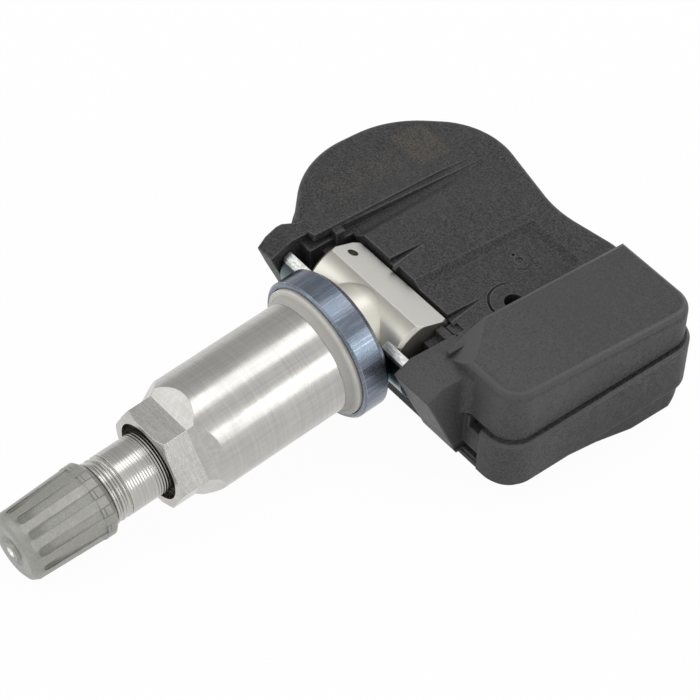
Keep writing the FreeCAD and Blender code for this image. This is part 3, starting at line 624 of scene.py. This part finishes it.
def neck_flare():
    made = bmesh.new()
    rings = []
    for i in range(saddle_steps + 1):
        angle = saddle_from + (saddle_to - saddle_from) * i / saddle_steps
        rings.append([made.verts.new(point) for point in saddle_section(angle)])
    for a, b in zip(rings, rings[1:]):
        for k in range(len(a)):
            after = (k + 1) % len(a)
            made.faces.new((a[k], a[after], b[after], b[k]))
    made.faces.new(rings[0][::-1])
    made.faces.new(rings[-1])
    bmesh.ops.recalc_face_normals(made, faces=made.faces)
    mesh = bpy.data.meshes.new("neck_flare")
    made.to_mesh(mesh)
    made.free()
    mesh.materials.append(looks["stem"].mat)
    for face in mesh.polygons:
        face.use_smooth = len(face.vertices) == 4
    flare = bpy.data.objects.new("neck_flare", mesh)
    bpy.context.scene.collection.objects.link(flare)
    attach(flare, "valve")


neck_flare()


# Studio: a white surround, softly lit, with reflections that fall off towards -X

plain_level = 0.6
dim_wall = 0.62
wall_reach = 0.8
floor_half = 3.0
floor_tone = (0.9, 0.9, 0.9, 1)
floor_glow = 0.965

# The part lies on its cap's rim and on the foot under the housing
cap_touch = Vector((0, -32.4, -8.5)) * mm
foot_touch = Vector((0, 33.0, -12.8)) * mm
floor_drop = 0.1 * mm

# Each lamp's name, place and size in metres, and power in watts
lamps = (
    ("key", (-0.07, 0.26, 0.55), (0.28, 0.6), 0.95),
    ("side", (0.51, 0.27, 0.277), (0.18, 0.3), 0.5),
    ("fill", (-0.25, -0.47, 0.34), (0.62, 0.62), 1.15),
)

camera_lens = 154.4686
camera_place = (0.1729958, -0.1465218, 0.2590919)
camera_turn = (41.3394, -1.6466, 50.3376)


def make_surround():
    """White to the camera, a soft wall to reflections, and a plain level of light to everything else."""
    world = bpy.data.worlds.new("studio")
    bpy.context.scene.world = world
    world.use_nodes = True
    nodes = Nodes(world.node_tree)
    back = nodes.tree.nodes["Background"]
    back.inputs["Color"].default_value = (1, 1, 1, 1)
    seen, shiny = nodes.ray_kinds()
    way = nodes.split(nodes.node("ShaderNodeTexCoord").outputs["Generated"])
    wall = nodes.ramp(way["X"], -wall_reach, wall_reach, dim_wall, 1.0)
    level = nodes.mix(shiny, plain_level, wall)
    nodes.put(back.inputs["Strength"], nodes.mix(seen, level, 1.0))


def make_floor():
    """Pale floor that glows to the camera and in reflections, keeps a shadow, and is clear from below."""
    mesh = bpy.data.meshes.new("floor")
    h = floor_half
    mesh.from_pydata([(-h, -h, 0), (h, -h, 0), (h, h, 0), (-h, h, 0)], [], [(0, 1, 2, 3)])
    floor = bpy.data.objects.new("floor", mesh)
    bpy.context.scene.collection.objects.link(floor)
    rise = foot_touch - cap_touch
    floor.rotation_euler = (math.atan2(rise.z, rise.y), 0, 0)
    floor.location = (cap_touch + foot_touch) / 2 - Vector((0, 0, floor_drop))
    mat = bpy.data.materials.new("floor_pale")
    mat.use_nodes = True
    nodes = Nodes(mat.node_tree)
    nodes.tree.nodes.remove(nodes.tree.nodes["Principled BSDF"])
    diffuse = nodes.node("ShaderNodeBsdfDiffuse")
    diffuse.inputs["Color"].default_value = floor_tone
    glow = nodes.node("ShaderNodeEmission")
    glow.inputs["Color"].default_value = (1, 1, 1, 1)
    seen, shiny = nodes.ray_kinds()
    share = nodes.times(nodes.larger(seen, shiny), floor_glow)
    above = nodes.mix_shaders(share, diffuse.outputs[0], glow.outputs[0])
    below = nodes.node("ShaderNodeNewGeometry").outputs["Backfacing"]
    clear = nodes.node("ShaderNodeBsdfTransparent").outputs[0]
    out = nodes.tree.nodes["Material Output"]
    nodes.put(out.inputs["Surface"], nodes.mix_shaders(below, above, clear))
    mesh.materials.append(mat)


def make_lamp(name, place, size, power):
    """Rectangular lamp that points at the origin."""
    light = bpy.data.lights.new(name, "AREA")
    light.shape = "RECTANGLE"
    light.size, light.size_y = size
    light.energy = power
    lamp = bpy.data.objects.new(name, light)
    lamp.location = place
    lamp.rotation_euler = (-Vector(place)).to_track_quat("-Z", "Y").to_euler()
    bpy.context.scene.collection.objects.link(lamp)


def make_camera():
    camera = bpy.data.cameras.new("camera")
    camera.lens = camera_lens
    camera.sensor_width = 36.0
    camera.clip_start = 0.01
    eye = bpy.data.objects.new("camera", camera)
    eye.location = camera_place
    eye.rotation_euler = [math.radians(angle) for angle in camera_turn]
    bpy.context.scene.collection.objects.link(eye)
    bpy.context.scene.camera = eye


bpy.context.scene.view_settings.view_transform = "Standard"
make_surround()
make_floor()
for row in lamps:
    make_lamp(*row)
make_camera()
